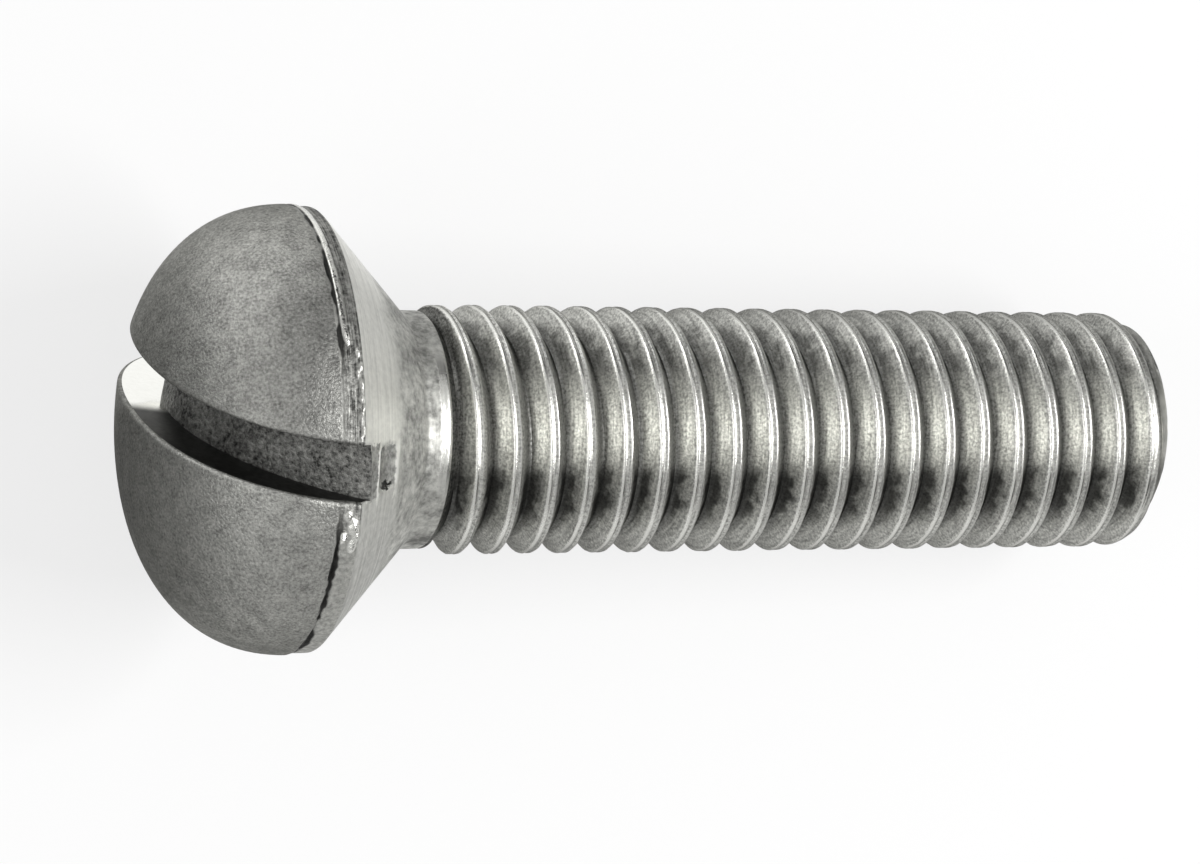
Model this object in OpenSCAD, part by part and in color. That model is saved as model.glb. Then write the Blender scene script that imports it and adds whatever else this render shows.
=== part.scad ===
// Machine screw with a high domed countersunk head, a shallow driver slot and a coarse metric thread.
// One piece of stainless steel, lying at rest: the rim of the head and the last full crest touch
// the surface, and the tip points along +X.

/* [Thread] */
// Outside diameter of the thread
thread_d = 8; // [6:0.1:10]
// Distance from one crest to the next
pitch = 1.25; // [1:0.05:1.5]
// Depth of the groove between two crests
groove_depth = 0.7; // [0.4:0.02:0.72]
// Width of the flat on top of a crest
crest_w = 0.3; // [0.1:0.02:0.32]
// Distance from the end of the neck to the middle of the first crest, on the line that the slot points along
first_crest = 0.95; // [0.6:0.05:1.2]

/* [Shank] */
// Length from the front edge of the rim to the tip
screw_l = 29.5; // [20:0.5:50]
// Diameter of the plain neck between head and thread
neck_d = 7.6; // [6.8:0.1:9.4]
// Length of the neck
neck_l = 0.6; // [0.45:0.05:3]
// Radius of the fillet between cone and neck
neck_fillet = 0.3; // [0.1:0.05:0.6]
// Length over which the end is turned down
tip_l = 0.6; // [0.3:0.1:1.4]
// Diameter of the flat end
tip_d = 6.8; // [4:0.1:7.4]

/* [Head] */
// Diameter of the rim
head_d = 14.2; // [12:0.1:16]
// Height of the straight band round the rim
rim_h = 0.5; // [0.2:0.05:1]
// Height of the dome above the rim
dome_h = 5.2; // [3:0.1:7]
// Fullness of the dome, where 2 is a plain ellipse and more is squarer
dome_fullness = 2.28; // [2:0.02:2.6]
// Angle of the whole countersunk cone
cone_angle = 96; // [80:1:100]

/* [Driver slot] */
// Width of the slot
slot_w = 1.7; // [1:0.1:2.4]
// Depth of the slot at the crown of the dome
slot_depth = 1.25; // [0.8:0.05:2]
// Radius of the rounded floor, which follows the dome from side to side
slot_floor_r = 7; // [6.6:0.1:9]
// How far the slot is cut off centre, measured at the rim
slot_offset = -1.02; // [-1.6:0.02:1.6]
// How far the slot leans to one side
slot_lean = 6.8; // [-8:0.2:8]
// How far the slot is turned from upright as the screw lies at rest
slot_turn = 19.3; // [-180:0.1:180]

/* [Finish] */
// Steps round one turn of the thread
turn_steps = 32; // [16:4:40]
// Steps from the rim to the crown of the dome
dome_steps = 20; // [12:1:32]

/* [Hidden] */
$fn = 96;

rim_r = head_d / 2;
neck_r = neck_d / 2;
crest_r = thread_d / 2;
root_r = crest_r - groove_depth;
flank_w = groove_depth * tan(30);
cone_l = (rim_r - neck_r) / tan(cone_angle / 2);
neck_start = rim_h + cone_l;
neck_end = neck_start + neck_l;
// The neck drops to the foot of the thread in a short shoulder
shoulder_end = neck_end + neck_r - root_r;
// How far a trimming tool reaches past what it trims
spare = 0.5;

crest_start = neck_end + first_crest - crest_w / 2;

// At rest the rim and the last full crest touch the surface, so the axis dips from head to tip
under_start = crest_start + pitch * (180 - slot_turn) / 360;
last_turns = floor((screw_l - tip_l - crest_w - under_start) / pitch);
last_crest = under_start + last_turns * pitch + crest_w;
rest_tilt = atan((rim_r - crest_r) / (last_crest - rim_h));
axis_height = rim_h * sin(rest_tilt) + rim_r * cos(rest_tilt);
head_reach = norm([dome_h * cos(rest_tilt), rim_r * sin(rest_tilt)]);
tip_reach = screw_l * cos(rest_tilt) + tip_d / 2 * sin(rest_tilt);

// A point of the dome's outline, from the rim at 0 degrees to the crown at 90
function dome_point(a) = [
    rim_r * pow(cos(a), 2 / dome_fullness),
    -dome_h * pow(sin(a), 2 / dome_fullness)
];

// Where each edge of the thread lies within one pitch, and whether it is on the crest (1) or in the root (0)
thread_edges = [
    [-flank_w, 0],
    [0, 1],
    [crest_w, 1],
    [crest_w + flank_w, 0]
];
edge_count = len(thread_edges);

// Each crest rises to its full height in the last stretch of the neck, and keeps inside the neck before that
function rise(z) = min(max(1 + (z - neck_end) / neck_l, 0), 1);
function edge_r(z, on_crest) = root_r + (on_crest == 1 ? rise(z) * groove_depth : 0);

// The thread starts one turn back, inside the head, and runs past the tip, where it is trimmed
lead_in = 2;
thread_from = crest_start - lead_in * pitch;
turns = ceil((screw_l - thread_from) / pitch) + 1;

function thread_point(i, j) =
    let (turn = 360 * i / turn_steps)
    let (z = thread_from + pitch * i / turn_steps + thread_edges[j][0])
    let (r = edge_r(z, thread_edges[j][1]))
    [r * cos(turn), r * sin(turn), z];

// Index of a point, where an edge past the last one belongs to the next turn
function at(i, j) = j < edge_count ? i * edge_count + j : (i + turn_steps) * edge_count + j - edge_count;

module threaded_rod() {
    rows = turns * turn_steps;
    points = [for (i = [0 : rows + turn_steps]) for (j = [0 : edge_count - 1]) thread_point(i, j)];
    near_end = len(points);
    far_end = near_end + 1;
    sides = [
        for (i = [0 : rows - 1]) for (j = [0 : edge_count - 1])
            for (half = [0, 1])
                half == 0 ? [at(i, j), at(i, j + 1), at(i + 1, j)]
                    : [at(i + 1, j), at(i, j + 1), at(i + 1, j + 1)]
    ];
    start_steps = [for (j = [0 : edge_count - 1]) [near_end, at(0, j + 1), at(0, j)]];
    start_turn = [for (i = [0 : turn_steps - 1]) [near_end, at(i, 0), at(i + 1, 0)]];
    end_steps = [for (j = [0 : edge_count - 1]) [far_end, at(rows, j), at(rows, j + 1)]];
    end_turn = [for (i = [rows : rows + turn_steps - 1]) [far_end, at(i + 1, 0), at(i, 0)]];
    polyhedron(
        points = concat(points, [[0, 0, thread_from], [0, 0, thread_from + (turns + 1) * pitch]]),
        faces = concat(sides, start_steps, start_turn, end_steps, end_turn)
    );
}

// Everything that the finished end keeps: a cone that runs out at the flat tip
module tip_limit() {
    slope = (crest_r - tip_d / 2) / tip_l;
    wide = crest_r + spare * slope;
    rotate_extrude()
        polygon([
            [0, neck_end - neck_l / 2],
            [wide, neck_end - neck_l / 2],
            [wide, screw_l - tip_l - spare],
            [tip_d / 2, screw_l],
            [0, screw_l]
        ]);
}

module head_blank() {
    crown = [for (k = [dome_steps : -1 : 0]) dome_point(90 * k / dome_steps)];
    fillet_reach = neck_fillet * tan(cone_angle / 4);
    fillet_z = neck_start + fillet_reach;
    fillet = [
        for (k = [0 : 4])
            let (a = cone_angle / 2 * (1 - k / 4))
            [neck_r + neck_fillet * (1 - cos(a)), fillet_z - neck_fillet * sin(a)]
    ];
    rotate_extrude()
        polygon(concat(
            crown,
            [[rim_r, rim_h]],
            fillet,
            [[neck_r, neck_end], [root_r - spare, shoulder_end + spare], [0, shoulder_end + spare]]
        ));
}

// The driver slot: a straight saw cut whose floor is a round drum that follows the dome
module slot_cut() {
    floor_centre = slot_floor_r + slot_depth - dome_h;
    reach = dome_h + head_d;
    rotate([-slot_lean, 0, 0])
        translate([0, slot_offset, 0])
            difference() {
                translate([-head_d, -slot_w / 2, -reach])
                    cube([2 * head_d, slot_w, reach + rim_h + cone_l]);
                translate([0, 0, floor_centre])
                    rotate([90, 0, 0])
                        cylinder(r = slot_floor_r, h = 2 * slot_w, center = true);
                translate([-slot_floor_r, -slot_w, floor_centre])
                    cube([2 * slot_floor_r, 2 * slot_w, head_d]);
            }
}

module screw() {
    color("silver")
        translate([(head_reach - tip_reach) / 2, 0, axis_height])
            rotate([0, 90 + rest_tilt, 0])
                rotate([0, 0, slot_turn - 180])
                    union() {
                        difference() {
                            head_blank();
                            slot_cut();
                        }
                        intersection() {
                            threaded_rod();
                            tip_limit();
                        }
                    }
}

screw();
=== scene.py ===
from math import asin, atan, atan2, cos, degrees, exp, hypot, pi, radians, sin, sqrt, tan

import bpy
from mathutils import Matrix, Vector, noise


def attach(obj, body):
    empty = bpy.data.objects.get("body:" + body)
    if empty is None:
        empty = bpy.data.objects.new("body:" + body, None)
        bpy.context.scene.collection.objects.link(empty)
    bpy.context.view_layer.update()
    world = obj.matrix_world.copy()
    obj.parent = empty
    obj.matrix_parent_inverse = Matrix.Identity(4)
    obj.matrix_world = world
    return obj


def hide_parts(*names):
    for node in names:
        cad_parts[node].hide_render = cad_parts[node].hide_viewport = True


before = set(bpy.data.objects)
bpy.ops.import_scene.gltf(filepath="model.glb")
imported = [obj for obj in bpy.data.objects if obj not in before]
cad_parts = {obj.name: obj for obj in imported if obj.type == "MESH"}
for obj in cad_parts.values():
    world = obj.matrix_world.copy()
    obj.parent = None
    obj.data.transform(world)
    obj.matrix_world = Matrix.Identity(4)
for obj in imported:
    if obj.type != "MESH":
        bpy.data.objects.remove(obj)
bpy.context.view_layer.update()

# Head
# The head is pressed from the end of the wire in a die: a high dome, a narrow rim and the cone that
# sits in the countersink, all of them round about the axis. Where the die closes, the metal is squeezed
# out into a thin beaded edge between the dome and the rim.
# The screw is drawn with its axis along +X, the front edge of the rim at zero and the camera's side up.
MM = 0.001
# Points nearer than this are one point
CLOSE = 0.0001 * MM
RIM_R = 7.09 * MM
RIM_H = 0.5 * MM
DOME_H = 5.195 * MM
DOME_FULLNESS = 2.28
CONE_HALF_ANGLE = radians(48)
NECK_R = 3.8 * MM
NECK_L = 0.6 * MM
NECK_FILLET = 0.3 * MM
CONE_L = (RIM_R - NECK_R) / tan(CONE_HALF_ANGLE)
NECK_START = RIM_H + CONE_L
NECK_END = NECK_START + NECK_L
HEAD_STEPS = 340
DOME_RINGS = 40
CONE_RINGS = 14
RIM_RING_GAP = 0.04 * MM
RIM_FRONT = -0.44 * MM
RIM_CORNER = 0.08 * MM
RIM_BACK_R = 0.05 * MM
SHANK_OVERLAP = 0.2 * MM
BAND_DROP = 0.06 * MM
CREASE_AT = -0.12 * MM
CREASE_HALF = 0.06 * MM
CREASE_DEPTH = 0.05 * MM


def dome_radius(s):
    """The radius of the dome at the height s, which is negative, before the rim."""
    height = min(-s / DOME_H, 1)
    return RIM_R * (1 - height**DOME_FULLNESS) ** (1 / DOME_FULLNESS)


def bump(distance, half):
    """A smooth hill of height 1 at distance 0."""
    return exp(-((distance / half) ** 2))


def rim_radius(s):
    """The radius near the rim: a crease where the dome ends and the band behind it."""
    plain = dome_radius(s) if s < 0 else RIM_R
    past_crease = min(max((s - CREASE_AT) / -CREASE_AT, 0), 1)
    return plain - BAND_DROP * past_crease - CREASE_DEPTH * bump(s - CREASE_AT, CREASE_HALF)


def rounded(before, corner, after, reach, steps):
    """Points of a soft corner, from its side towards the point before to its side towards the one after."""
    corner = Vector(corner)
    start = corner + (Vector(before) - corner).normalized() * reach
    end = corner + (Vector(after) - corner).normalized() * reach
    points = []
    for k in range(steps + 1):
        u = k / steps
        points.append(tuple(start * (1 - u) ** 2 + corner * 2 * u * (1 - u) + end * u**2))
    return points


def draw_outline(name, points):
    """A chain of edges through points given as (along the axis, radius), left open in edit mode."""
    bpy.ops.object.select_all(action="DESELECT")
    bpy.ops.mesh.primitive_plane_add(size=MM, location=(0, 0, 0))
    bpy.context.object.name = name
    bpy.ops.object.mode_set(mode="EDIT")
    bpy.ops.mesh.select_mode(type="VERT")
    bpy.ops.mesh.select_all(action="SELECT")
    bpy.ops.mesh.merge(type="CENTER")
    bpy.ops.transform.translate(value=(points[0][0], 0, points[0][1]))
    for (s, r), (next_s, next_r) in zip(points, points[1:]):
        bpy.ops.mesh.extrude_region_move(TRANSFORM_OT_translate={"value": (next_s - s, 0, next_r - r)})
    return bpy.context.object


dome_end = (RIM_FRONT / -DOME_H) ** (DOME_FULLNESS / 2)
dome_from = asin(dome_end)
head_outline = []
for k in range(DOME_RINGS):
    turn = pi / 2 + (dome_from - pi / 2) * k / DOME_RINGS
    s = -DOME_H * sin(turn) ** (2 / DOME_FULLNESS)
    head_outline.append((s, 0 if k == 0 else dome_radius(s)))
rim_rings = int((RIM_H - RIM_CORNER - RIM_FRONT) / RIM_RING_GAP)
for k in range(rim_rings + 1):
    s = RIM_FRONT + RIM_RING_GAP * k
    head_outline.append((s, rim_radius(s)))
rim_back = (RIM_H, RIM_R - BAND_DROP)
neck_corner = (NECK_START, NECK_R)
head_outline += rounded(head_outline[-1], rim_back, neck_corner, RIM_BACK_R, 3)
neck_corner_start = rounded(rim_back, neck_corner, (NECK_END, NECK_R), NECK_FILLET / 2, 5)
cone_from, cone_to = Vector(head_outline[-1]), Vector(neck_corner_start[0])
for k in range(1, CONE_RINGS):
    head_outline.append(tuple(cone_from.lerp(cone_to, k / CONE_RINGS)))
head_outline += neck_corner_start
# Where the neck of the head meets the neck of the shank
JOIN_AT = NECK_END - SHANK_OVERLAP
head_outline.append((JOIN_AT, NECK_R))

screw = draw_outline("machine_screw", head_outline)
bpy.ops.mesh.select_all(action="SELECT")
bpy.ops.mesh.spin(steps=HEAD_STEPS, angle=2 * pi, center=(0, 0, 0), axis=(1, 0, 0))
bpy.ops.mesh.select_all(action="SELECT")
bpy.ops.mesh.remove_doubles(threshold=CLOSE)
bpy.ops.mesh.normals_make_consistent(inside=False)

# Driver slot
# The slot is sawn across the dome after pressing. The saw ran about a millimetre off centre and a
# little askew, and its round path left a floor that follows the dome from side to side.
SLOT_W = 1.7 * MM
SLOT_DEPTH = 1.25 * MM
SLOT_FLOOR_R = 7.0 * MM
SLOT_OFFSET = 1.02 * MM
SLOT_LEAN = radians(6.8)
SLOT_TURN = radians(19.3)
SLOT_EDGE_R = 0.14 * MM
# Cuts beside each wall, as shares of the edge's radius, that let the edge be rounded
EDGE_STEPS = (0, 0.12, 0.35, 0.65, 1)
SKIN = 0.02 * MM
FLOOR_STEPS = 96
FLOOR_CENTRE = SLOT_FLOOR_R + SLOT_DEPTH - DOME_H

# The slot's own frame: x down into the head, y across the slot and z along it
slot_frame = Matrix.Rotation(SLOT_TURN, 3, "X") @ Matrix.Rotation(-SLOT_LEAN, 3, "Z")
across = slot_frame @ Vector((0, 1, 0))
for side in (-1, 1):
    for step in EDGE_STEPS:
        wall = SLOT_OFFSET + side * (SLOT_W / 2 + step * SLOT_EDGE_R)
        bpy.ops.mesh.select_all(action="SELECT")
        bpy.ops.mesh.bisect(plane_co=across * wall, plane_no=across, threshold=CLOSE)
bpy.ops.mesh.select_all(action="DESELECT")
bpy.ops.mesh.select_non_manifold()
bpy.ops.mesh.edge_face_add()
bpy.ops.object.mode_set(mode="OBJECT")

saw_outline = [(NECK_START, -2 * RIM_R), (-2 * DOME_H, -2 * RIM_R), (-2 * DOME_H, 2 * RIM_R)]
saw_outline += [(NECK_START, 2 * RIM_R), (NECK_START, SLOT_FLOOR_R)]
for k in range(FLOOR_STEPS + 1):
    turn = pi * k / FLOOR_STEPS
    saw_outline.append((FLOOR_CENTRE - SLOT_FLOOR_R * sin(turn), SLOT_FLOOR_R * cos(turn)))
saw_outline.append((NECK_START, -SLOT_FLOOR_R))
saw = draw_outline("saw", saw_outline)
bpy.ops.mesh.select_all(action="SELECT")
bpy.ops.mesh.edge_face_add()
bpy.ops.transform.translate(value=(0, SLOT_OFFSET - SLOT_W / 2, 0))
bpy.ops.mesh.extrude_region_move(TRANSFORM_OT_translate={"value": (0, SLOT_W, 0)})
bpy.ops.mesh.select_all(action="SELECT")
bpy.ops.mesh.normals_make_consistent(inside=False)
bpy.ops.object.mode_set(mode="OBJECT")
saw.matrix_world = slot_frame.to_4x4()

bpy.ops.object.select_all(action="DESELECT")
bpy.context.view_layer.objects.active = screw
cut = screw.modifiers.new("slot", "BOOLEAN")
cut.operation = "DIFFERENCE"
cut.solver = "EXACT"
cut.object = saw
bpy.ops.object.modifier_apply(modifier=cut.name)
bpy.data.objects.remove(saw)


def head_radius(s):
    """The radius of the plain head at the height s."""
    if s < RIM_H - RIM_BACK_R:
        return rim_radius(s) if s > RIM_FRONT else dome_radius(s)
    return RIM_R - BAND_DROP - max(s - RIM_H, 0) * (RIM_R - BAND_DROP - NECK_R) / CONE_L


def head_normal(point):
    """The outward direction of the plain head at a point on it."""
    s, r = point.x, hypot(point.y, point.z)
    slope = (head_radius(s + SKIN) - head_radius(max(s - SKIN, -DOME_H))) / (2 * SKIN)
    return Vector((-slope, point.y / r, point.z / r)).normalized()


def on_skin(point):
    """Whether a point lies on the outside of the head, and not in the slot."""
    from_skin = hypot(point.y, point.z) - head_radius(point.x)
    return abs(from_skin) < SKIN or point.x < -0.97 * DOME_H


def select_faces(test):
    """Selects the faces of the screw whose middle and normal pass the test, in edit mode."""
    bpy.ops.object.mode_set(mode="EDIT")
    bpy.ops.mesh.select_mode(type="FACE")
    bpy.ops.mesh.select_all(action="DESELECT")
    bpy.ops.object.mode_set(mode="OBJECT")
    for face in screw.data.polygons:
        face.select = test(face.center, face.normal)
    bpy.ops.object.mode_set(mode="EDIT")


# The edges of the cut are a little round
for vertex in screw.data.vertices:
    in_slot = slot_frame.transposed() @ vertex.co
    out = abs(in_slot.y - SLOT_OFFSET) - SLOT_W / 2
    wall_height = hypot(in_slot.x - FLOOR_CENTRE, in_slot.z) - SLOT_FLOOR_R
    if -CLOSE < out < SLOT_EDGE_R and wall_height > 0 and on_skin(vertex.co):
        drop = SLOT_EDGE_R - sqrt(SLOT_EDGE_R**2 - (SLOT_EDGE_R - max(out, 0)) ** 2)
        inward = -head_normal(vertex.co)
        inward = (inward - across * inward.dot(across)).normalized()
        vertex.co += inward * drop * min(1, wall_height / (2 * SLOT_EDGE_R))

# Where the saw leaves the head it tears a shallow notch into the cone, with a raised lip at each end
NOTCH_FROM = 1.2 * MM
NOTCH_TO = 2.0 * MM
NOTCH_LOW = -0.68 * MM
NOTCH_HIGH = 0.66 * MM
NOTCH_DEPTH = 0.1 * MM
LIP_H = 0.07 * MM
LIP_HALF = 0.07 * MM
NOTCH_STEP = 0.028 * MM
RINGS_BESIDE = 3
CUTS_BESIDE = 0.2 * MM
LIPS_BESIDE = 0.3 * MM
DIP_BESIDE_LIP = 0.06 * MM


def in_notch(point, spare):
    """Whether a point of the cone lies at the near end of the slot, with something to spare round it."""
    in_slot = slot_frame.transposed() @ point
    inside = NOTCH_FROM - spare < point.x < NOTCH_TO + spare
    return inside and abs(in_slot.y - SLOT_OFFSET) < SLOT_W / 2 + spare and in_slot.z > 0


select_faces(lambda middle, normal: in_notch(middle, CUTS_BESIDE))
notch_rings = int((NOTCH_TO - NOTCH_FROM) / NOTCH_STEP) + 2 * RINGS_BESIDE + 1
for k in range(notch_rings):
    at = NOTCH_FROM + (k - RINGS_BESIDE) * NOTCH_STEP
    bpy.ops.mesh.bisect(plane_co=(at, 0, 0), plane_no=(1, 0, 0), threshold=CLOSE)
bpy.ops.object.mode_set(mode="OBJECT")


def window(value, low, high, soft):
    """1 between low and high, falling softly to 0 outside."""
    inside = min(value - low, high - value) / soft
    inside = min(max(inside, 0), 1)
    return inside * inside * (3 - 2 * inside)


for vertex in screw.data.vertices:
    if in_notch(vertex.co, LIPS_BESIDE):
        s = vertex.co.x
        height = (slot_frame.transposed() @ vertex.co).y - SLOT_OFFSET
        lip = bump(s - NOTCH_FROM, LIP_HALF) + bump(s - NOTCH_TO, LIP_HALF)
        lip *= window(height, NOTCH_LOW - 0.25 * MM, NOTCH_HIGH + 0.1 * MM, 0.2 * MM)
        dip = window(s, NOTCH_FROM + DIP_BESIDE_LIP, NOTCH_TO - DIP_BESIDE_LIP, 0.08 * MM)
        dip *= window(height, NOTCH_LOW, NOTCH_HIGH, 0.1 * MM)
        vertex.co += head_normal(vertex.co) * (LIP_H * lip - NOTCH_DEPTH * dip)

# The squeezed edge: a bright bead on the upper side of the picture that breaks up into drops towards the
# slot, a torn crease on the lower side, and smeared drops of metal below the slot
BEAD_AT = 0.0 * MM
BEAD_HALF = 0.12 * MM
BEAD_H = 0.064 * MM
PIT_DEPTH = 0.09 * MM
TEAR_DEPTH = 0.05 * MM
TEAR_UNEVEN = 0.07 * MM
# Unevenness of the edge, in waves to a metre
BEAD_WAVES = 800
TEAR_WAVES = 2600
# Degrees round from the top, place along the axis, width in degrees, length and height, the rest in mm
DROPS = (
    (24.5, 0.3, 1.6, 0.14, 0.15),
    (27.0, 0.42, 1.0, 0.09, 0.16),
    (27.5, 0.02, 1.1, 0.11, 0.12),
    (29.8, 0.32, 1.5, 0.11, 0.13),
    (21.5, 0.1, 1.2, 0.12, 0.09),
    (-22.5, 0.08, 1.6, 0.07, 0.09),
    (-19.0, 0.36, 1.2, 0.07, 0.08),
    (-15.5, 0.42, 0.9, 0.06, 0.09),
    (-13.5, 0.3, 0.8, 0.06, 0.08),
    (-11.0, 0.42, 1.1, 0.07, 0.10),
    (-7.5, 0.36, 0.8, 0.07, 0.09),
    (-5.5, 0.46, 0.7, 0.06, 0.08),
    (-3.0, 0.36, 1.1, 0.08, 0.10),
    (0.5, 0.44, 0.9, 0.07, 0.09),
    (2.6, 0.36, 0.8, 0.07, 0.08),
)
for vertex in screw.data.vertices:
    s, y, z = vertex.co
    if -0.3 * MM < s < 0.75 * MM and on_skin(vertex.co):
        round_from_top = degrees(atan2(-y, z))
        wavy = noise.noise(Vector((y, z, 0)) * BEAD_WAVES)
        ragged = noise.noise(Vector((y, z, 0)) * TEAR_WAVES)
        upper = window(round_from_top, -130, -20, 8)
        lower = window(round_from_top, 22, 140, 12)
        bead = BEAD_H * upper * min(1, 0.65 + 3 * abs(wavy)) * bump(s - BEAD_AT, BEAD_HALF)
        tear = (TEAR_DEPTH + TEAR_UNEVEN * ragged) * lower * bump(s - CREASE_AT, CREASE_HALF)
        between_them = 1 - upper - lower
        pit = PIT_DEPTH * max(ragged, 0) * between_them * bump(s - CREASE_AT, 1.4 * CREASE_HALF)
        move = bead - tear - pit
        for drop_round, drop_s, wide, long, high in DROPS:
            sideways = (round_from_top - drop_round) / wide
            move += high * MM * exp(-(sideways**2)) * bump(s - drop_s * MM, long * MM)
        r = hypot(y, z)
        vertex.co.y *= (r + move) / r
        vertex.co.z *= (r + move) / r

# Thread
# The thread is rolled between two dies up to the neck. The metal flows up the flanks and folds over
# on the crest, which leaves two bright lips with a shallow seam between them.
CREST_R = 4.0 * MM
GROOVE_DEPTH = 0.7 * MM
CREST_W = 0.3 * MM
PITCH = 1.25 * MM
FIRST_CREST = 0.95 * MM
ROOT_R = CREST_R - GROOVE_DEPTH
FLANK_W = GROOVE_DEPTH * tan(radians(30))
CREST_SOFT = 0.12
ROOT_SOFT = 0.5
SEAM_DEPTH = 0.035 * MM
SEAM_HALF = 0.05 * MM
THREAD_STEPS = 112
JOIN_GAP = 0.04 * MM
# Where the profile has its points, as shares of a pitch from the middle of a crest
PROFILE_MARKS = (0.035, 0.07, 0.105, 0.14, 0.19, 0.29, 0.38, 0.44)
SCREW_L = 29.5 * MM
TIP_FROM = 28.55 * MM
TIP_R = 3.2 * MM
# Where the middle of a crest lies on the side towards the camera
CREST_ON_TOP = NECK_END + FIRST_CREST - PITCH * SLOT_TURN / (2 * pi)


def soft_min(a, b, reach):
    """The smaller of two values, with the corner between them rounded over the reach."""
    blend = max(reach - abs(a - b), 0) / reach
    return min(a, b) - blend**2 * reach / 4


def thread_radius(x):
    """The radius of the thread at the distance x from the middle of the nearest crest."""
    x = (x + PITCH / 2) % PITCH - PITCH / 2
    flank = (CREST_W / 2 + FLANK_W - abs(x)) / FLANK_W
    level = -soft_min(-soft_min(flank, 1, CREST_SOFT), 0, ROOT_SOFT)
    return ROOT_R + GROOVE_DEPTH * level - SEAM_DEPTH * bump(x, SEAM_HALF)


profile_marks = [-mark for mark in reversed(PROFILE_MARKS)] + [0, *PROFILE_MARKS, 0.5]
lead_in = CREST_ON_TOP - 3 * PITCH
one_pitch = [(lead_in - PITCH / 2, thread_radius(PITCH / 2))]
for mark in profile_marks:
    one_pitch.append((lead_in + mark * PITCH, thread_radius(mark * PITCH)))
turns = int((SCREW_L - lead_in) / PITCH) + 2
shank = draw_outline("shank", one_pitch)
bpy.ops.object.mode_set(mode="OBJECT")
roll = shank.modifiers.new("roll", "SCREW")
roll.axis = "X"
roll.angle = 2 * pi
roll.screw_offset = PITCH
roll.iterations = turns
roll.steps = THREAD_STEPS
roll.render_steps = THREAD_STEPS
bpy.ops.object.modifier_apply(modifier=roll.name)
bpy.ops.object.mode_set(mode="EDIT")
bpy.ops.mesh.select_all(action="SELECT")
bpy.ops.mesh.remove_doubles(threshold=CLOSE)

# Rings that follow the end of the neck, in mm from it, and the turned end, as shares of its length
SHOULDER_RINGS = (-0.1, -0.05, 0, 0.04, 0.08, 0.14, 0.2, 0.28, 0.36, 0.44)
END_RINGS = (0, 0.1, 0.2, 0.3, 0.4, 0.5, 0.6, 0.7, 0.78, 0.86, 0.92, 0.96)
ring_places = [NECK_END + ring * MM for ring in SHOULDER_RINGS]
ring_places += [TIP_FROM + ring * (SCREW_L - TIP_FROM) for ring in END_RINGS]
for ring_at in ring_places:
    bpy.ops.mesh.select_all(action="SELECT")
    bpy.ops.mesh.bisect(plane_co=(ring_at, 0, 0), plane_no=(1, 0, 0), threshold=CLOSE)
bpy.ops.mesh.select_all(action="SELECT")
shank_from = (JOIN_AT + JOIN_GAP, 0, 0)
bpy.ops.mesh.bisect(plane_co=shank_from, plane_no=(1, 0, 0), clear_inner=True, threshold=CLOSE)
bpy.ops.mesh.select_all(action="SELECT")
bpy.ops.mesh.bisect(plane_co=(SCREW_L, 0, 0), plane_no=(1, 0, 0), clear_outer=True, threshold=CLOSE)
bpy.ops.object.mode_set(mode="OBJECT")

SHOULDER_W = 0.5 * MM
SHOULDER_SOFT = 0.07 * MM
SHOULDER_PAST = 0.14 * MM
FOOT_SOFT = 0.08 * MM
END_SOFT = 0.05 * MM
# The first turns stand a little towards the tip, and rise over this length
FIRST_TURNS_WIDE = 0.17 * MM
RUN_OUT = 0.45 * MM
RUN_OUT_FROM = NECK_END - 0.05 * MM


def shoulder_radius(s):
    """The neck, its soft edge and the short slope down to the thread."""
    slope = NECK_R - (s - NECK_END - SHOULDER_PAST)
    return soft_min(NECK_R, slope, SHOULDER_SOFT)


def end_radius(s):
    """The end of the screw is turned down in a round sweep."""
    past = min(max((s - TIP_FROM) / (SCREW_L - TIP_FROM), 0), 1)
    return TIP_R + (CREST_R - TIP_R) * sqrt(1 - past**2)


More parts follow.
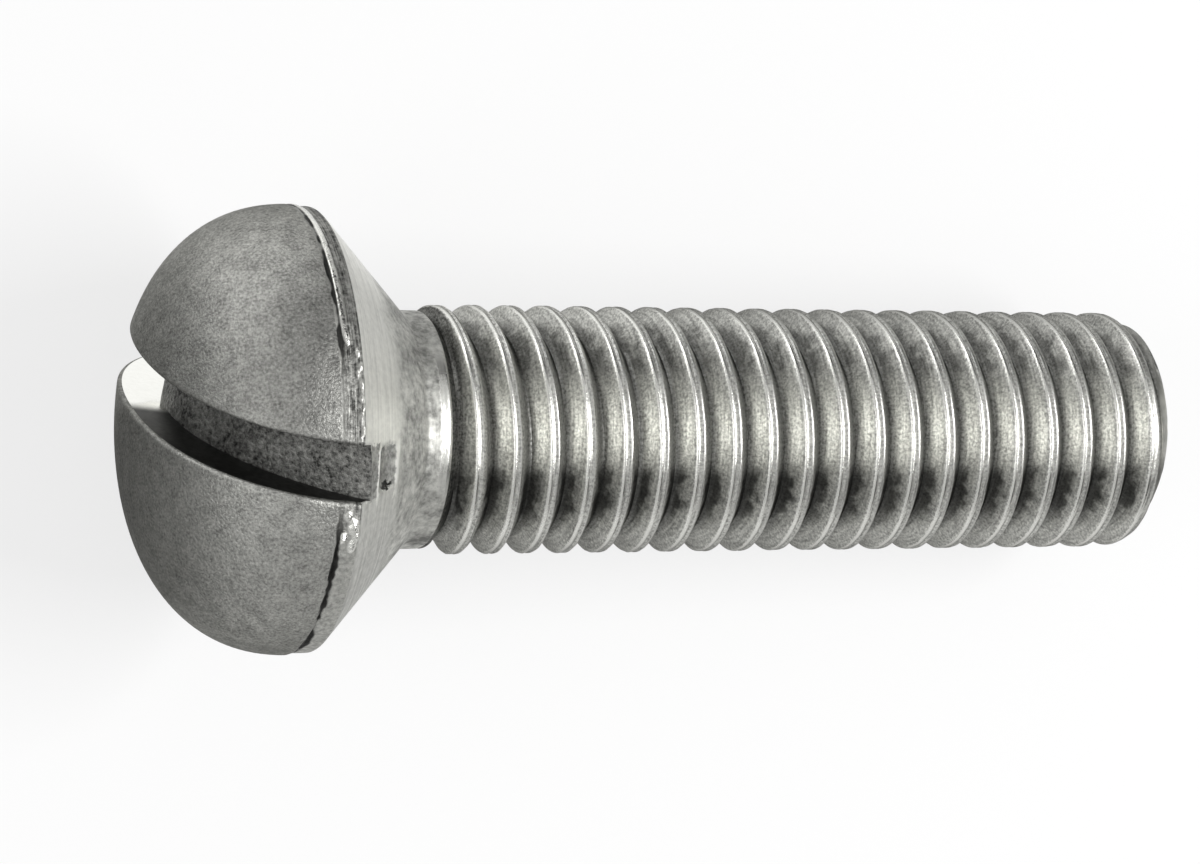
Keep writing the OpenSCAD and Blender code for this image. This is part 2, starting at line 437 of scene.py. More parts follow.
# Small knocks in the crests: mm along the screw, degrees round from the top, and depth in mm
KNOCKS = (
    (6.0, 15.0, 0.14),
    (10.6, 2.0, 0.16),
    (13.0, -36.0, 0.14),
    (17.2, 37.0, 0.2),
    (15.1, -30.0, 0.08),
    (19.3, -38.0, 0.1),
    (22.8, 30.0, 0.08),
)
KNOCK_SIZE = 0.16 * MM
KNOCK_REACH = 0.6 * MM
LIP_AT = 0.11 * MM
LIP_SOFT = 0.07 * MM
CREST_TOP = 0.17 * MM
FINE_WEAR = 0.025 * MM
WIDE_WEAR = 0.02 * MM
FINE_WAVES = 2200
WIDE_WAVES = 700
front_lip = shank.data.attributes.new("front_lip", "FLOAT", "POINT")
back_lip = shank.data.attributes.new("back_lip", "FLOAT", "POINT")
for vertex in shank.data.vertices:
    s, y, z = vertex.co
    round_from_top = atan2(-y, z)
    crest = CREST_ON_TOP + PITCH * round_from_top / (2 * pi)
    wide = FIRST_TURNS_WIDE * exp(-(max(s - NECK_END, 0) / (4 * PITCH)) ** 2)
    r = thread_radius(s - crest - wide)
    off = (s - crest - wide + PITCH / 2) % PITCH - PITCH / 2
    front_lip.data[vertex.index].value = bump(off + LIP_AT, LIP_SOFT)
    back_lip.data[vertex.index].value = bump(off - LIP_AT, LIP_SOFT)
    rise = min(max((s - RUN_OUT_FROM) / RUN_OUT, 0), 1)
    if s < NECK_END + SHOULDER_PAST + SHOULDER_W:
        r = ROOT_R + (r - ROOT_R) * rise
        r = -soft_min(-r, -shoulder_radius(s), FOOT_SOFT) if s > JOIN_AT + 2 * JOIN_GAP else NECK_R
    r = soft_min(r, end_radius(s), END_SOFT) if s > TIP_FROM else r
    on_crest = Vector((s, -CREST_R * sin(round_from_top), CREST_R * cos(round_from_top)))
    if r > CREST_R - CREST_TOP:
        r -= FINE_WEAR * max(noise.noise(on_crest * FINE_WAVES), 0)
        r -= WIDE_WEAR * max(noise.noise(on_crest * WIDE_WAVES), 0)
    for knock_s, knock_round, deep in KNOCKS:
        turned = radians(knock_round)
        knock = Vector((knock_s * MM, -CREST_R * sin(turned), CREST_R * cos(turned)))
        if abs(s - knock.x) < KNOCK_REACH:
            raised = max(r - ROOT_R, 0) / GROOVE_DEPTH
            r -= deep * MM * raised * bump((on_crest - knock).length, KNOCK_SIZE)
    vertex.co = (s, -r * sin(round_from_top), r * cos(round_from_top))

# The blank is one piece: the neck runs into the thread, and the end is closed by a flat face
bpy.ops.object.select_all(action="DESELECT")
shank.select_set(True)
screw.select_set(True)
bpy.context.view_layer.objects.active = screw
bpy.ops.object.join()

select_faces(lambda middle, normal: abs(middle.x - JOIN_AT) < CLOSE and normal.x > 0.9)
bpy.ops.mesh.delete(type="ONLY_FACE")
bpy.ops.mesh.select_mode(type="EDGE")
bpy.ops.mesh.select_all(action="DESELECT")
bpy.ops.object.mode_set(mode="OBJECT")
sides_of = {}
for face in screw.data.polygons:
    for key in face.edge_keys:
        sides_of[key] = sides_of.get(key, 0) + 1
for edge in screw.data.edges:
    at_neck = screw.data.vertices[edge.vertices[0]].co.x < NECK_END
    edge.select = at_neck and sides_of.get(edge.key, 0) == 1
bpy.ops.object.mode_set(mode="EDIT")
bpy.ops.mesh.bridge_edge_loops()
bpy.ops.mesh.select_all(action="DESELECT")
bpy.ops.mesh.select_non_manifold()
bpy.ops.mesh.edge_face_add()
bpy.ops.object.mode_set(mode="OBJECT")
select_faces(lambda middle, normal: abs(middle.x - SCREW_L) < CLOSE)
# The face of the end is a little hollow, as the rolling leaves it: each ring's size, and how much deeper
END_FACE = ((0.92, 0), (0.8, 0.05 * MM), (0.6, 0.07 * MM), (0.5, 0.03 * MM))
for share, hollow in END_FACE:
    bpy.ops.mesh.extrude_region_move(TRANSFORM_OT_translate={"value": (-hollow, 0, 0)})
    bpy.ops.transform.resize(value=(1, share, share), center_override=(SCREW_L, 0, 0))
bpy.ops.mesh.select_all(action="SELECT")
bpy.ops.mesh.remove_doubles(threshold=CLOSE)
bpy.ops.mesh.normals_make_consistent(inside=False)
bpy.ops.object.mode_set(mode="OBJECT")

# Place at rest
# The screw lies on its side on the rim and on the last full crest that touches down, so its axis dips
# from head to tip. Its box stands in the middle of the table, as the solid's does.
TURNED_L = 0.6 * MM
FLAT_END_R = 3.4 * MM
SMOOTH_BELOW = radians(38)
under_crest = CREST_ON_TOP + PITCH / 2 - CREST_W / 2
full_turns = int((SCREW_L - TURNED_L - CREST_W - under_crest) / PITCH)
last_crest = under_crest + full_turns * PITCH + CREST_W
rest_tilt = atan((RIM_R - CREST_R) / (last_crest - RIM_H))
axis_height = RIM_H * sin(rest_tilt) + RIM_R * cos(rest_tilt)
head_reach = hypot(DOME_H * cos(rest_tilt), RIM_R * sin(rest_tilt))
tip_reach = SCREW_L * cos(rest_tilt) + FLAT_END_R * sin(rest_tilt)
screw_at = Vector(((head_reach - tip_reach) / 2, 0, axis_height))
place = Matrix.Translation(screw_at) @ Matrix.Rotation(rest_tilt, 4, "Y")
screw.matrix_world = place
bpy.ops.object.select_all(action="DESELECT")
screw.select_set(True)
bpy.context.view_layer.objects.active = screw
bpy.ops.object.transform_apply(location=True, rotation=True, scale=True)
bpy.ops.object.shade_smooth_by_angle(angle=SMOOTH_BELOW)

# Finish
# The screw is one piece of stainless steel in six finishes: the pressed dome, the sawn floor and the
# smooth walls of the slot, the beaded rim, the turned cone with the neck, and the rolled thread.
FINISHES = ("dome", "slot", "wall", "rim", "cone", "thread")
DOME_TO = CREASE_AT - 0.12 * MM
THREAD_FROM = NECK_END + SHOULDER_PAST + 0.06 * MM
FLOOR_SKIN = 0.03 * MM


def finish_of(middle, normal):
    """Which finish a face has, from its middle and normal in the screw's own place."""
    in_slot = slot_frame.transposed() @ middle
    facing_wall = abs((slot_frame.transposed() @ normal).y)
    above_floor = hypot(in_slot.x - FLOOR_CENTRE, in_slot.z) - SLOT_FLOOR_R
    in_width = abs(in_slot.y - SLOT_OFFSET) < SLOT_W / 2 + CLOSE
    if middle.x > THREAD_FROM:
        return "thread"
    if in_width and facing_wall > 0.9:
        return "wall"
    if in_width and abs(above_floor) < FLOOR_SKIN:
        return "slot"
    if middle.x < DOME_TO:
        return "dome"
    return "rim" if middle.x < RIM_H else "cone"


into_screw = place.inverted()
for finish in FINISHES:
    screw.data.materials.append(bpy.data.materials.new("steel_" + finish))
for face in screw.data.polygons:
    middle = into_screw @ face.center
    normal = into_screw.to_3x3() @ face.normal
    face.material_index = FINISHES.index(finish_of(middle, normal))


def new_group(name, inputs, outputs):
    """A shader node group with plain number inputs and outputs, and its two end nodes."""
    group = bpy.data.node_groups.new(name, "ShaderNodeTree")
    for label, value in inputs.items():
        socket = group.interface.new_socket(label, in_out="INPUT", socket_type="NodeSocketFloat")
        socket.default_value = value
    for label in outputs:
        group.interface.new_socket(label, in_out="OUTPUT", socket_type="NodeSocketFloat")
    return group, group.nodes.new("NodeGroupInput"), group.nodes.new("NodeGroupOutput")


def put(tree, socket, value):
    """Links another socket to a socket, or sets a plain value on it."""
    if isinstance(value, bpy.types.NodeSocket):
        tree.links.new(value, socket)
    else:
        socket.default_value = value


def add(tree, kind, **settings):
    """A node with its settings, and its inputs by their names or, as i0, i1 and i2, by their places."""
    node = tree.nodes.new(kind)
    for label, value in settings.items():
        if hasattr(node, label):
            setattr(node, label, value)
        elif label[0] == "i" and label[1:].isdigit():
            put(tree, node.inputs[int(label[1:])], value)
        else:
            put(tree, node.inputs[label], value)
    return node


def calc(tree, operation, *values):
    """The result of a sum on numbers and sockets."""
    node = tree.nodes.new("ShaderNodeMath")
    node.operation = operation
    for socket, value in zip(node.inputs, values):
        put(tree, socket, value)
    return node.outputs[0]


def place_on_screw(tree):
    """The place on the screw in millimetres, along its axis first, from Object coordinates."""
    coordinates = tree.nodes.new("ShaderNodeTexCoord")
    mapping = tree.nodes.new("ShaderNodeMapping")
    mapping.vector_type = "TEXTURE"
    mapping.inputs["Location"].default_value = screw_at
    mapping.inputs["Rotation"].default_value = (0, rest_tilt, 0)
    mapping.inputs["Scale"].default_value = (MM, MM, MM)
    tree.links.new(coordinates.outputs["Object"], mapping.inputs["Vector"])
    return mapping.outputs["Vector"]


# Grain: the pits and mottles that pressing, sawing and wear leave, at a size in millimetres
grain, grain_in, grain_out = new_group("grain", {"Size": 0.2, "Roughness": 0.6}, ("Height", "Mottle"))
grain_place = place_on_screw(grain)
per_size = calc(grain, "DIVIDE", 1.0, grain_in.outputs["Size"])
fine = add(grain, "ShaderNodeTexNoise", Vector=grain_place, Scale=per_size, Detail=3.0)
grain.links.new(grain_in.outputs["Roughness"], fine.inputs["Roughness"])
per_mottle = calc(grain, "MULTIPLY", per_size, 0.17)
coarse = add(grain, "ShaderNodeTexNoise", Vector=grain_place, Scale=per_mottle, Detail=2.0)
grain.links.new(fine.outputs["Fac"], grain_out.inputs["Height"])
grain.links.new(coarse.outputs["Fac"], grain_out.inputs["Mottle"])

# Streaks: fine lines round the axis from turning and rolling, at a width and a length in millimetres
streaks, streaks_in, streaks_out = new_group("streaks", {"Width": 0.05, "Length": 2.0}, ("Height",))
streak_place = add(streaks, "ShaderNodeSeparateXYZ", Vector=place_on_screw(streaks))
across_lines = calc(streaks, "DIVIDE", streak_place.outputs["X"], streaks_in.outputs["Width"])
along_lines_y = calc(streaks, "DIVIDE", streak_place.outputs["Y"], streaks_in.outputs["Length"])
along_lines_z = calc(streaks, "DIVIDE", streak_place.outputs["Z"], streaks_in.outputs["Length"])
lines = add(streaks, "ShaderNodeCombineXYZ", X=across_lines, Y=along_lines_y, Z=along_lines_z)
thin = add(streaks, "ShaderNodeTexNoise", Vector=lines.outputs[0], Scale=1.0, Detail=2.0)
streaks.links.new(thin.outputs["Fac"], streaks_out.inputs["Height"])


def tree_of(finish):
    """The node tree of a finish."""
    material = screw.data.materials["steel_" + finish]
    material.use_nodes = True
    return material.node_tree


def pitted(tree, size, roughness=0.6):
    """The fine and the coarse mask of the grain."""
    node = add(tree, "ShaderNodeGroup", node_tree=grain, Size=size, Roughness=roughness)
    return node.outputs["Height"], node.outputs["Mottle"]


def streaked(tree, width, length):
    """The mask of the streaks."""
    return add(tree, "ShaderNodeGroup", node_tree=streaks, Width=width, Length=length).outputs["Height"]


def axis_place(tree, letter):
    """The place along the axis, X, beside it, Y, or above it, Z, in millimetres."""
    return add(tree, "ShaderNodeSeparateXYZ", Vector=place_on_screw(tree)).outputs[letter]


def from_axis(tree):
    """The distance from the axis in millimetres."""
    flat = add(tree, "ShaderNodeCombineXYZ", X=0.0, Y=axis_place(tree, "Y"), Z=axis_place(tree, "Z"))
    return add(tree, "ShaderNodeVectorMath", operation="LENGTH", i0=flat.outputs[0]).outputs["Value"]


def distance_along(tree, direction):
    """How far a spot lies in a direction of the screw, in millimetres."""
    node = add(tree, "ShaderNodeVectorMath", operation="DOT_PRODUCT", i0=place_on_screw(tree), i1=direction)
    return node.outputs["Value"]


def ramp(tree, value, low, high):
    """0 up to the low value and 1 from the high value, with a soft rise between them."""
    node = add(tree, "ShaderNodeMapRange", interpolation_type="SMOOTHSTEP", Value=value)
    node.inputs["From Min"].default_value = low
    node.inputs["From Max"].default_value = high
    return node.outputs["Result"]


def product(tree, *masks):
    """Masks multiplied with each other."""
    result = masks[0]
    for mask in masks[1:]:
        result = calc(tree, "MULTIPLY", result, mask)
    return result


def between(tree, value, low, high, soft):
    """1 between the low and the high value, with soft ends inside them."""
    return product(tree, ramp(tree, value, low, low + soft), ramp(tree, value, high, high - soft))


def mix_masks(tree, first, second, share):
    """Two masks mixed, with the share of the second."""
    return calc(tree, "MULTIPLY_ADD", second, share, calc(tree, "MULTIPLY", first, 1 - share))


WARMTH = 0.945
SOFT = (0.3, 0.7)
CLEAR = (0.34, 0.66)
STRONG = (0.38, 0.62)


def tint(tree, mask, greys, contrast=SOFT):
    """A grey between a dark and a light one by a mask, a touch warm as on stainless steel."""
    colours = tree.nodes.new("ShaderNodeValToRGB")
    for stop, position, grey in zip(colours.color_ramp.elements, contrast, greys):
        stop.position = position
        stop.color = (grey, grey, grey * WARMTH, 1)
    tree.links.new(mask, colours.inputs["Fac"])
    return colours.outputs["Color"]


def span(tree, mask, low, high):
    """A value between low and high by a mask."""
    node = add(tree, "ShaderNodeMapRange", Value=mask)
    node.inputs["From Min"].default_value, node.inputs["From Max"].default_value = SOFT
    node.inputs["To Min"].default_value = low
    node.inputs["To Max"].default_value = high
    return node.outputs["Result"]


def mix_colour(tree, share, first, second):
    node = tree.nodes.new("ShaderNodeMix")
    node.data_type = "RGBA"
    tree.links.new(share, node.inputs[0])
    tree.links.new(first, node.inputs[6])
    tree.links.new(second, node.inputs[7])
    return node.outputs[2]


def mix_value(tree, share, first, second):
    node = tree.nodes.new("ShaderNodeMix")
    tree.links.new(share, node.inputs[0])
    put(tree, node.inputs[2], first)
    put(tree, node.inputs[3], second)
    return node.outputs[0]


def steel(tree, colour, roughness, relief, depth, edge=1.0):
    """Finishes a material; edge is how much a grazing look brightens it, less where the metal is dull."""
    surface = tree.nodes["Principled BSDF"]
    surface.inputs["Metallic"].default_value = 1.0
    surface.inputs["Specular Tint"].default_value = (edge, edge, edge, 1)
    tree.links.new(colour, surface.inputs["Base Color"])
    tree.links.new(roughness, surface.inputs["Roughness"])
    bumps = add(tree, "ShaderNodeBump", Strength=1.0, Distance=depth, Height=relief)
    tree.links.new(bumps.outputs["Normal"], surface.inputs["Normal"])


# The dome is grainy and dull, with painted shade towards the rim and painted light towards its two sides
PRESSED = (0.21, 0.58)
PAINTED_SHADE_AT_RIM = (0.12, 0.41)
PAINTED_LIGHT_AT_SIDES = (0.3, 0.8)
tree = tree_of("dome")
pits, mottle = pitted(tree, 0.09, 0.65)
patches = mix_masks(tree, pits, mottle, 0.28)
along = axis_place(tree, "X")
beside = axis_place(tree, "Y")
# Painted shade near the rim and painted light on the two sides, mixed into the colour below
near_rim = ramp(tree, along, -3.4, -0.8)
at_sides = calc(tree, "MAXIMUM", ramp(tree, beside, 0.5, -3.0), ramp(tree, beside, 3.5, 5.5))
colour = tint(tree, patches, PRESSED, CLEAR)
colour = mix_colour(tree, near_rim, colour, tint(tree, patches, PAINTED_SHADE_AT_RIM, CLEAR))
at_sides = product(tree, at_sides, 0.45)
colour = mix_colour(tree, at_sides, colour, tint(tree, patches, PAINTED_LIGHT_AT_SIDES, CLEAR))
steel(tree, colour, span(tree, patches, 0.52, 0.42), pits, 0.03 * MM, 0.2)

# The floor of the slot is coarse and blotched
SAWN = (0.02, 0.4)
tree = tree_of("slot")
pits, mottle = pitted(tree, 0.16, 0.75)
patches = mix_masks(tree, pits, mottle, 0.3)
colour = tint(tree, patches, SAWN, (0.36, 0.66))
steel(tree, colour, span(tree, patches, 0.7, 0.5), pits, 0.05 * MM)

# The saw has left the walls smooth: painted shade on the near half, and bare metal on the far half
PAINTED_SHADE_NEAR_HALF = (0.015, 0.05)
BARE = (0.9, 0.95)
tree = tree_of("wall")
pits, mottle = pitted(tree, 0.2)
near_half = ramp(tree, distance_along(tree, slot_frame @ Vector((0, 0, 1))), -0.5, 0.4)
# The near half's dark tint is painted shade
colour = mix_colour(tree, near_half, tint(tree, pits, BARE), tint(tree, pits, PAINTED_SHADE_NEAR_HALF))
steel(tree, colour, mix_value(tree, near_half, 0.08, 0.45), pits, 0.001 * MM)

# The band of the rim is dark and streaky, and lighter on the lower side. What stands up from it is rubbed
# bright, most of all the bead on the upper side and then the smeared drops below the slot.
BAND = (0.05, 0.46)
LOWER_BAND = (0.3, 0.66)
BEFORE_CREASE = (0.22, 0.54)
CREASE_DARK = (0.02, 0.06)
RAISED_FROM = RIM_R / MM - 0.045
RAISED_TO = RIM_R / MM - 0.015
tree = tree_of("rim")
pits, mottle = pitted(tree, 0.16, 0.7)
patches = mix_masks(tree, streaked(tree, 0.05, 1.2), pits, 0.5)
along = axis_place(tree, "X")
beside = axis_place(tree, "Y")
radius = from_axis(tree)
upper_part = ramp(tree, beside, 1.2, 2.6)
lower_part = ramp(tree, beside, -2.2, -3.4)
smeared = product(tree, ramp(tree, beside, -2.0, -2.4), ramp(tree, beside, -4.1, -3.8))
colour = mix_colour(tree, lower_part, tint(tree, patches, BAND, STRONG), tint(tree, pits, LOWER_BAND))
past_crease = ramp(tree, along, -0.16, 0.0)
colour = mix_colour(tree, past_crease, tint(tree, patches, BEFORE_CREASE), colour)
# The crease is darker, in a line of uneven width that fades towards the slot
from_crease = calc(tree, "ABSOLUTE", calc(tree, "SUBTRACT", along, CREASE_AT / MM))
off_dark_line = ramp(tree, calc(tree, "MULTIPLY_ADD", mottle, 0.6, from_crease), 0.34, 0.42)
away_from_slot = calc(tree, "MAXIMUM", upper_part, lower_part)
off_dark_line = calc(tree, "MAXIMUM", off_dark_line, calc(tree, "MULTIPLY_ADD", away_from_slot, -0.6, 0.6))
colour = mix_colour(tree, off_dark_line, tint(tree, patches, CREASE_DARK), colour)
raised = product(tree, ramp(tree, radius, RAISED_FROM, RAISED_TO), ramp(tree, along, -0.09, -0.05))
polish = calc(tree, "MULTIPLY_ADD", upper_part, 0.7, calc(tree, "MULTIPLY_ADD", smeared, 0.5, 0.3))
raised = product(tree, raised, polish)
colour = mix_colour(tree, raised, colour, tint(tree, patches, BARE))
roughness = mix_value(tree, raised, span(tree, patches, 0.6, 0.5), 0.18)
steel(tree, colour, roughness, pits, 0.03 * MM, 0.7)

# The cone is turned and pale, with painted shade towards its lower side. The neck is mottled, and its end
# is rubbed bright in a band kept to the middle of the near side, which is a painted highlight.
CONE = (0.66, 0.97)
PAINTED_SHADE_LOWER_CONE = (0.34, 0.7)
NECK = (0.22, 0.68)
RUBBED_HIGHLIGHT = (0.75, 0.95)
tree = tree_of("cone")
pits, mottle = pitted(tree, 0.22, 0.65)
patches = mix_masks(tree, streaked(tree, 0.07, 3.0), pits, 0.45)
blotches = mix_masks(tree, pits, mottle, 0.55)
along = axis_place(tree, "X")
beside = axis_place(tree, "Y")
above = axis_place(tree, "Z")
# Painted shade on the lower side of the cone
lower_part = ramp(tree, beside, 1.5, -5.0)
colour = mix_colour(tree, lower_part, tint(tree, patches, CONE), tint(tree, patches, PAINTED_SHADE_LOWER_CONE))
at_neck = ramp(tree, calc(tree, "MULTIPLY_ADD", mottle, 1.4, along), 2.5, 3.1)
colour = mix_colour(tree, at_neck, colour, tint(tree, blotches, NECK, STRONG))
roughness = mix_value(tree, at_neck, span(tree, patches, 0.5, 0.36), span(tree, blotches, 0.7, 0.55))
# The rubbed end of the neck, kept to the middle of the near side: polish and a painted highlight
rubbed_highlight = ramp(tree, calc(tree, "MULTIPLY_ADD", pits, 0.25, along), 3.97, 4.07)
rubbed_highlight = product(tree, rubbed_highlight, ramp(tree, beside, -2.4, -1.2), ramp(tree, beside, 2.8, 1.6))
colour = mix_colour(tree, rubbed_highlight, colour, tint(tree, patches, RUBBED_HIGHLIGHT))
roughness = mix_value(tree, rubbed_highlight, roughness, 0.26)
# The notch is torn and darker inside, with a painted shadow along its lower edge, and its two lips are
# rubbed bright
TORN = (0.16, 0.56)
PAINTED_SHADOW_EDGE = (0.01, 0.03)
up_slot = calc(tree, "SUBTRACT", distance_along(tree, across), SLOT_OFFSET / MM)
ragged_up = calc(tree, "ADD", up_slot, calc(tree, "MULTIPLY_ADD", pits, 0.7, -0.35))
ragged_along = calc(tree, "ADD", along, calc(tree, "MULTIPLY_ADD", pits, 0.2, -0.1))
near_end = ramp(tree, above, 0.0, 1.0)
torn = between(tree, ragged_up, -0.74, 0.72, 0.2)
torn = product(tree, torn, between(tree, ragged_along, 1.1, 1.98, 0.12))
open_end = between(tree, ragged_up, -0.9, 0.84, 0.06)
open_end = product(tree, open_end, between(tree, ragged_along, 0.7, 1.2, 0.1))
torn = product(tree, near_end, calc(tree, "MAXIMUM", torn, open_end))
# Painted shadow along the lower edge of the notch
painted_shadow_edge = between(tree, ragged_up, -0.72, -0.45, 0.08)
painted_shadow_edge = product(tree, near_end, painted_shadow_edge, between(tree, along, 1.3, 1.85, 0.08))
first_lip = between(tree, ragged_along, 1.09, 1.27, 0.06)
second_lip = between(tree, ragged_along, 1.9, 2.12, 0.06)
lips = product(tree, near_end, between(tree, ragged_up, -1.1, 0.75, 0.2))
lips = product(tree, lips, calc(tree, "MAXIMUM", first_lip, second_lip))
colour = mix_colour(tree, torn, colour, tint(tree, pits, TORN))
colour = mix_colour(tree, painted_shadow_edge, colour, tint(tree, pits, PAINTED_SHADOW_EDGE))
colour = mix_colour(tree, lips, colour, tint(tree, pits, BARE))
roughness = mix_value(tree, lips, roughness, 0.36)
steel(tree, colour, roughness, patches, 0.015 * MM)

# The two lips of each crest are polished and the flanks duller. The roots and the first groove carry
# painted shade, and the grooves carry painted shade in bands on the lower and upper sides, most of it on
# the lower side.
ROOT_SHADE = (0.08, 0.36)
FLANK = (0.3, 0.84)
FIRST_GROOVE_SHADE = (0.06, 0.4)
GROOVE_SHADE_BANDS = (0.04, 0.18)
END_FACE_GREY = (0.3, 0.6)
BACK_LIP = (0.6, 0.8)
FRONT_LIP = (0.82, 0.98)
tree = tree_of("thread")
pits, mottle = pitted(tree, 0.09, 0.7)
patches = mix_masks(tree, streaked(tree, 0.05, 2.0), pits, 0.7)
along = axis_place(tree, "X")
beside = axis_place(tree, "Y")
radius = from_axis(tree)
# Painted shade in the roots
open_flank = ramp(tree, radius, 3.3, 3.55)
colour = tint(tree, patches, ROOT_SHADE, STRONG)
colour = mix_colour(tree, open_flank, colour, tint(tree, patches, FLANK, STRONG))
# Painted shade in the first groove
in_first_groove = ramp(tree, along, 4.85, 4.6)
colour = mix_colour(tree, in_first_groove, colour, tint(tree, patches, FIRST_GROOVE_SHADE, STRONG))
# Painted shade in the grooves, in bands on the lower and upper sides
lower_side = product(tree, ramp(tree, beside, -1.0, -1.6), ramp(tree, beside, -3.4, -2.4))
upper_side = product(tree, ramp(tree, beside, 1.5, 2.2), ramp(tree, beside, 3.7, 3.1), 0.7)
shade_bands = ramp(tree, calc(tree, "MULTIPLY_ADD", mottle, -1.1, radius), 3.3, 2.9)
shade_bands = product(tree, shade_bands, calc(tree, "MAXIMUM", lower_side, upper_side))
colour = mix_colour(tree, shade_bands, colour, tint(tree, patches, GROOVE_SHADE_BANDS))
# The face of the end is plain and dull, without lips or dirt
on_thread = ramp(tree, along, SCREW_L / MM - 0.17, SCREW_L / MM - 0.27)
colour = mix_colour(tree, on_thread, tint(tree, mottle, END_FACE_GREY), colour)
front = add(tree, "ShaderNodeAttribute", attribute_name="front_lip").outputs["Fac"]
back = add(tree, "ShaderNodeAttribute", attribute_name="back_lip").outputs["Fac"]
front_on = ramp(tree, calc(tree, "MULTIPLY_ADD", pits, 0.8, front), 0.7, 1.0)
back_on = ramp(tree, calc(tree, "MULTIPLY_ADD", pits, 1.2, back), 1.1, 1.5)
front_on = product(tree, front_on, on_thread)
back_on = product(tree, back_on, on_thread)
colour = mix_colour(tree, back_on, colour, tint(tree, patches, BACK_LIP))
colour = mix_colour(tree, front_on, colour, tint(tree, patches, FRONT_LIP))
roughness = mix_value(tree, back_on, span(tree, patches, 0.48, 0.36), 0.3)
roughness = mix_value(tree, front_on, roughness, 0.26)
steel(tree, colour, roughness, patches, 0.014 * MM, 0.3)

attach(screw, "root")
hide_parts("screw")

# Floor and light
# A plain white table under the screw and a wide soft light over it. Grey and dark cards and two white
# screens lie and stand round it, as beside shiny things in a studio, and show only in the metal.
FLOOR_SIZE = 4.0
FLOOR_GREY = 0.85
# How much of the table's white the camera sees for itself, which leaves the shadow soft
WHITE_SHARE = 0.7
bpy.ops.object.select_all(action="DESELECT")
bpy.ops.mesh.primitive_plane_add(size=FLOOR_SIZE, location=(0, 0, 0))
floor = bpy.context.object
floor.name = "table_top"
floor_paint = bpy.data.materials.new("table_white")
floor_paint.use_nodes = True
tree = floor_paint.node_tree
surface = tree.nodes["Principled BSDF"]
surface.inputs["Base Color"].default_value = (FLOOR_GREY, FLOOR_GREY, FLOOR_GREY, 1)
surface.inputs["Roughness"].default_value = 0.9
surface.inputs["Specular IOR Level"].default_value = 0.0
light_path = tree.nodes.new("ShaderNodeLightPath")
white = add(tree, "ShaderNodeEmission", Color=(1, 1, 1, 1), Strength=1.0)
share = calc(tree, "MULTIPLY", light_path.outputs["Is Camera Ray"], WHITE_SHARE)
mixed = add(tree, "ShaderNodeMixShader", i0=share, i1=surface.outputs[0], i2=white.outputs[0])
tree.links.new(mixed.outputs[0], tree.nodes["Material Output"].inputs["Surface"])
floor.data.materials.append(floor_paint)

# Each card: its middle in metres, how far it is tilted up from the table and turned in degrees, its two
# sides, its grey, and whether it is a white one that glows like a lit screen
CARDS = (
    ("card_lower", (0.125, -0.09, 0.06), 90, 0, (0.16, 0.12), 0.02, False),
    ("card_upper", (0.09, 0.09, 0.035), 90, 0, (0.18, 0.07), 0.02, False),
    ("card_head", (-0.11, -0.02, 0.03), 90, 90, (0.12, 0.06), 0.15, False),
    ("bed_lower", (0.02, -0.03, 0.00002), 0, 0, (0.07, 0.06), 0.6, False),
    ("bed_upper", (0.028, 0.03, 0.00002), 0, 0, (0.062, 0.06), 0.48, False),
    ("bed_head", (-0.06, -0.012, 0.00002), 0, 0, (0.082, 0.07), 0.22, False),
    ("screen_slot", (-0.013, 0.016, 0.00004), 0, 0, (0.02, 0.03), 1.0, True),
    ("screen_rim", (-0.055, 0.085, 0.03), 90, 25, (0.11, 0.028), 2.6, True),
)
for name, at, tilt, turn, sides, grey, glows in CARDS:
    bpy.ops.object.select_all(action="DESELECT")
    bpy.ops.mesh.primitive_plane_add(size=1, location=at)
    card = bpy.context.object
    card.name = name
    card.rotation_euler = (radians(tilt), 0, radians(turn))
    card.scale = (*sides, 1)
    card_paint = bpy.data.materials.new(name)
    card_paint.use_nodes = True
    tree = card_paint.node_tree
    surface = tree.nodes["Principled BSDF"]
    surface.inputs["Base Color"].default_value = (grey, grey, grey, 1)
    surface.inputs["Specular IOR Level"].default_value = 0.0
    if glows:
        glow = add(tree, "ShaderNodeEmission", Color=(1, 1, 1, 1), Strength=grey)
        tree.links.new(glow.outputs[0], tree.nodes["Material Output"].inputs["Surface"])
    card.data.materials.append(card_paint)
    card.visible_camera = False
    card.visible_diffuse = False
    card.visible_shadow = False

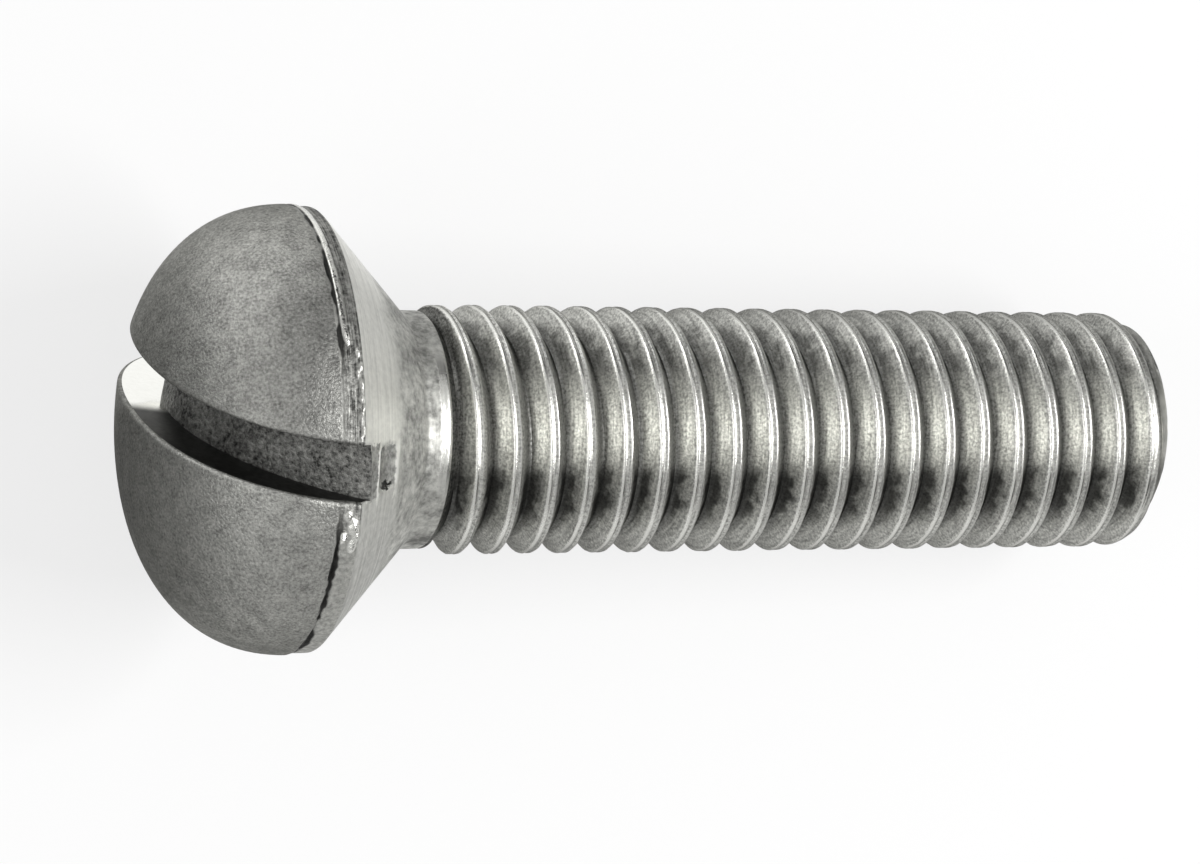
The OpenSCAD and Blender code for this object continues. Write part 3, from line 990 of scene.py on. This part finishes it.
# Each lamp: its middle in metres, its two sides, and its power in watts
LAMPS = (
    ("key", (0.23, 0.0, 0.28), (0.24, 0.08), 1.0),
    ("fill", (-0.2, -0.05, 0.2), (0.2, 0.2), 0.14),
)
LAMP_TARGET = Vector((0, 0, 0.005))
for name, at, (long_side, short_side), power in LAMPS:
    bpy.ops.object.light_add(type="AREA", location=at)
    lamp = bpy.context.object
    lamp.name = name
    lamp.data.shape = "RECTANGLE"
    lamp.data.size = long_side
    lamp.data.size_y = short_side
    lamp.data.energy = power
    lamp.rotation_euler = (LAMP_TARGET - Vector(at)).to_track_quat("-Z", "Y").to_euler()

WORLD_LIGHT = 0.5
world = bpy.data.worlds.new("studio")
bpy.context.scene.world = world
world.use_nodes = True
sky = world.node_tree.nodes["Background"]
sky.inputs["Color"].default_value = (1, 1, 1, 1)
sky.inputs["Strength"].default_value = WORLD_LIGHT

# Camera
# The camera looks straight down on the side of the screw, close above the head and leaning towards the
# tip, as in a close-up.
CAMERA_BACK = -29.455 * MM
CAMERA_OUT = 108.247 * MM
CAMERA_LEAN = radians(20.257)
PICTURE_W = 1200
FOCAL_PX = 3551.5
SENSOR_W = 36
AXIS_ABOVE_MIDDLE = 2.5
to_tip = place.to_3x3() @ Vector((1, 0, 0))
off_table = place.to_3x3() @ Vector((0, 0, 1))
picture_right = to_tip * cos(CAMERA_LEAN) + off_table * sin(CAMERA_LEAN)
picture_up = Vector((0, 1, 0))
to_camera = off_table * cos(CAMERA_LEAN) - to_tip * sin(CAMERA_LEAN)
bpy.ops.object.camera_add(location=place @ Vector((CAMERA_BACK, 0, CAMERA_OUT)))
camera = bpy.context.object
camera.rotation_euler = Matrix((picture_right, picture_up, to_camera)).transposed().to_euler()
camera.data.sensor_width = SENSOR_W
camera.data.lens = FOCAL_PX / PICTURE_W * SENSOR_W
camera.data.shift_y = -AXIS_ABOVE_MIDDLE / PICTURE_W
camera.data.clip_start = 0.001
bpy.context.scene.camera = camera
bpy.context.scene.view_settings.view_transform = "Standard"
